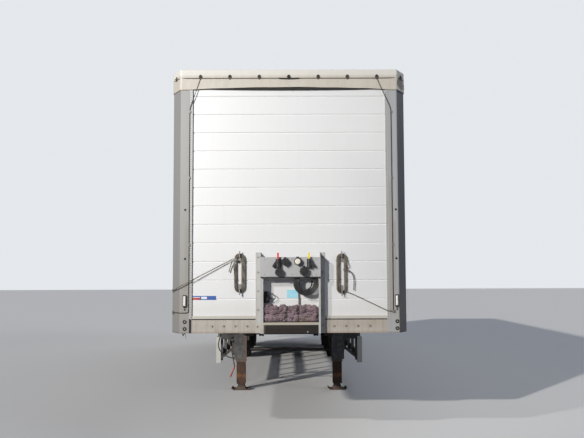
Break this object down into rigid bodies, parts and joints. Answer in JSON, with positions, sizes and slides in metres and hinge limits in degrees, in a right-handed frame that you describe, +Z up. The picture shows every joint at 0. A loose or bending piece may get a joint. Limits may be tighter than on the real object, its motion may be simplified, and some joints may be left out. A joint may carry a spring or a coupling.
{
  "type": "curtain-side semi trailer",
  "caption": "Long curtain-side semi trailer with a boarded front wall, rear doors, landing legs, side guards and single wheels on air-sprung axles.",
  "frame": {"origin": "on the ground, under the middle of the outline in plan", "axes": "+Y runs from the front wall to the rear doors, +X to the side that is on the right seen from the front, +Z up"},
  "size_m": [2.55, 13.875, 4],
  "materials": {
    "aluminium": "mill finish",
    "bare_steel": "greased bare steel",
    "black_cable": "black sheathed cable",
    "black_plastic": "black moulded plastic",
    "black_rubber": "black rubber",
    "bracket_steel": "grey painted steel, dusty",
    "cream_tarp": "cream coated tarpaulin",
    "curtain_fabric": "coated tarpaulin",
    "frame_paint": "dark chassis paint, dull, with road dirt",
    "galvanised": "dull galvanised steel, dusty",
    "lamp_amber": "moulded amber lens",
    "lamp_red": "moulded lens",
    "lamp_white": "moulded clear lens",
    "old_tarp": "faded brown tarpaulin",
    "plywood": "brown coated plywood",
    "rope": "weathered synthetic rope",
    "rusty_steel": "rusty steel",
    "tyre": "worn road tyre",
    "webbing": "grey polyester webbing with steel buckles",
    "wheel_silver": "silver wheel paint, dusty",
    "white_panel": "white coated panel",
    "white_planks": "white coated planks, dusty",
    "white_steel": "white paint, dusty"
  },
  "bodies": {
    "trailer": {"air_springs": "black_rubber", "air_tanks": "frame_paint", "axles": "frame_paint", "buffers": "black_rubber", "cable_coil": "black_cable", "cant_rails": "aluminium", "chassis_beams": "frame_paint", "connection_bracket": "bracket_steel", "coupler_plate": "frame_paint", "coupling_heads": "black_plastic", "cross_members": "frame_paint", "curtain_straps": "webbing", "curtains": "curtain_fabric", "floor_deck": "plywood", "front_cap": "cream_tarp", "front_pillars": "white_steel", "front_sill": "galvanised", "front_wall": "white_planks", "kingpin": "bare_steel", "landing_crank": "galvanised", "landing_feet": "rusty_steel", "landing_legs": "galvanised", "marker_lamps": "lamp_white", "mudguards": "black_plastic", "pillar_cables": "bare_steel", "rear_lamps": "lamp_red", "rear_portal": "white_steel", "roof_bows": "galvanised", "roof_tarp": "cream_tarp", "rope_hank_left": "rope", "rope_hank_right": "rope", "rope_hooks": "galvanised", "rope_run_left": "rope", "rope_run_right": "rope", "shock_absorbers": "frame_paint", "side_guards": "aluminium", "side_markers": "lamp_amber", "side_posts": "galvanised", "side_rails": "galvanised", "sockets": "black_plastic", "spring_hangers": "frame_paint", "tarp_bundle": "old_tarp", "trailing_arms": "frame_paint", "underrun_bar": "galvanised"},
    "wheel_1_left": {"rim_1_left": "wheel_silver", "tyre_1_left": "tyre"},
    "wheel_1_right": {"rim_1_right": "wheel_silver", "tyre_1_right": "tyre"},
    "wheel_2_left": {"rim_2_left": "wheel_silver", "tyre_2_left": "tyre"},
    "wheel_2_right": {"rim_2_right": "wheel_silver", "tyre_2_right": "tyre"},
    "wheel_3_left": {"rim_3_left": "wheel_silver", "tyre_3_left": "tyre"},
    "wheel_3_right": {"rim_3_right": "wheel_silver", "tyre_3_right": "tyre"},
    "rear_door_left": {"door_left": "white_panel", "door_locks_left": "galvanised"},
    "rear_door_right": {"door_right": "white_panel", "door_locks_right": "galvanised"}
  },
  "joints": [
    {"name": "turn_1_left", "type": "hinge", "parent": "trailer", "child": "wheel_1_left", "pos_m": [-1.02, 2.23, 0.536], "axis": [1, 0, 0], "continuous": true},
    {"name": "turn_1_right", "type": "hinge", "parent": "trailer", "child": "wheel_1_right", "pos_m": [1.02, 2.23, 0.536], "axis": [1, 0, 0], "continuous": true},
    {"name": "turn_2_left", "type": "hinge", "parent": "trailer", "child": "wheel_2_left", "pos_m": [-1.02, 3.54, 0.536], "axis": [1, 0, 0], "continuous": true},
    {"name": "turn_2_right", "type": "hinge", "parent": "trailer", "child": "wheel_2_right", "pos_m": [1.02, 3.54, 0.536], "axis": [1, 0, 0], "continuous": true},
    {"name": "turn_3_left", "type": "hinge", "parent": "trailer", "child": "wheel_3_left", "pos_m": [-1.02, 4.85, 0.536], "axis": [1, 0, 0], "continuous": true},
    {"name": "turn_3_right", "type": "hinge", "parent": "trailer", "child": "wheel_3_right", "pos_m": [1.02, 4.85, 0.536], "axis": [1, 0, 0], "continuous": true},
    {"name": "swing_left", "type": "hinge", "parent": "trailer", "child": "rear_door_left", "pos_m": [-1.2625, 6.919, 2.5], "axis": [0, 0, 1], "range_deg": [0, 270]},
    {"name": "swing_right", "type": "hinge", "parent": "trailer", "child": "rear_door_right", "pos_m": [1.2625, 6.919, 2.5], "axis": [0, 0, -1], "range_deg": [0, 270]}
  ]
}
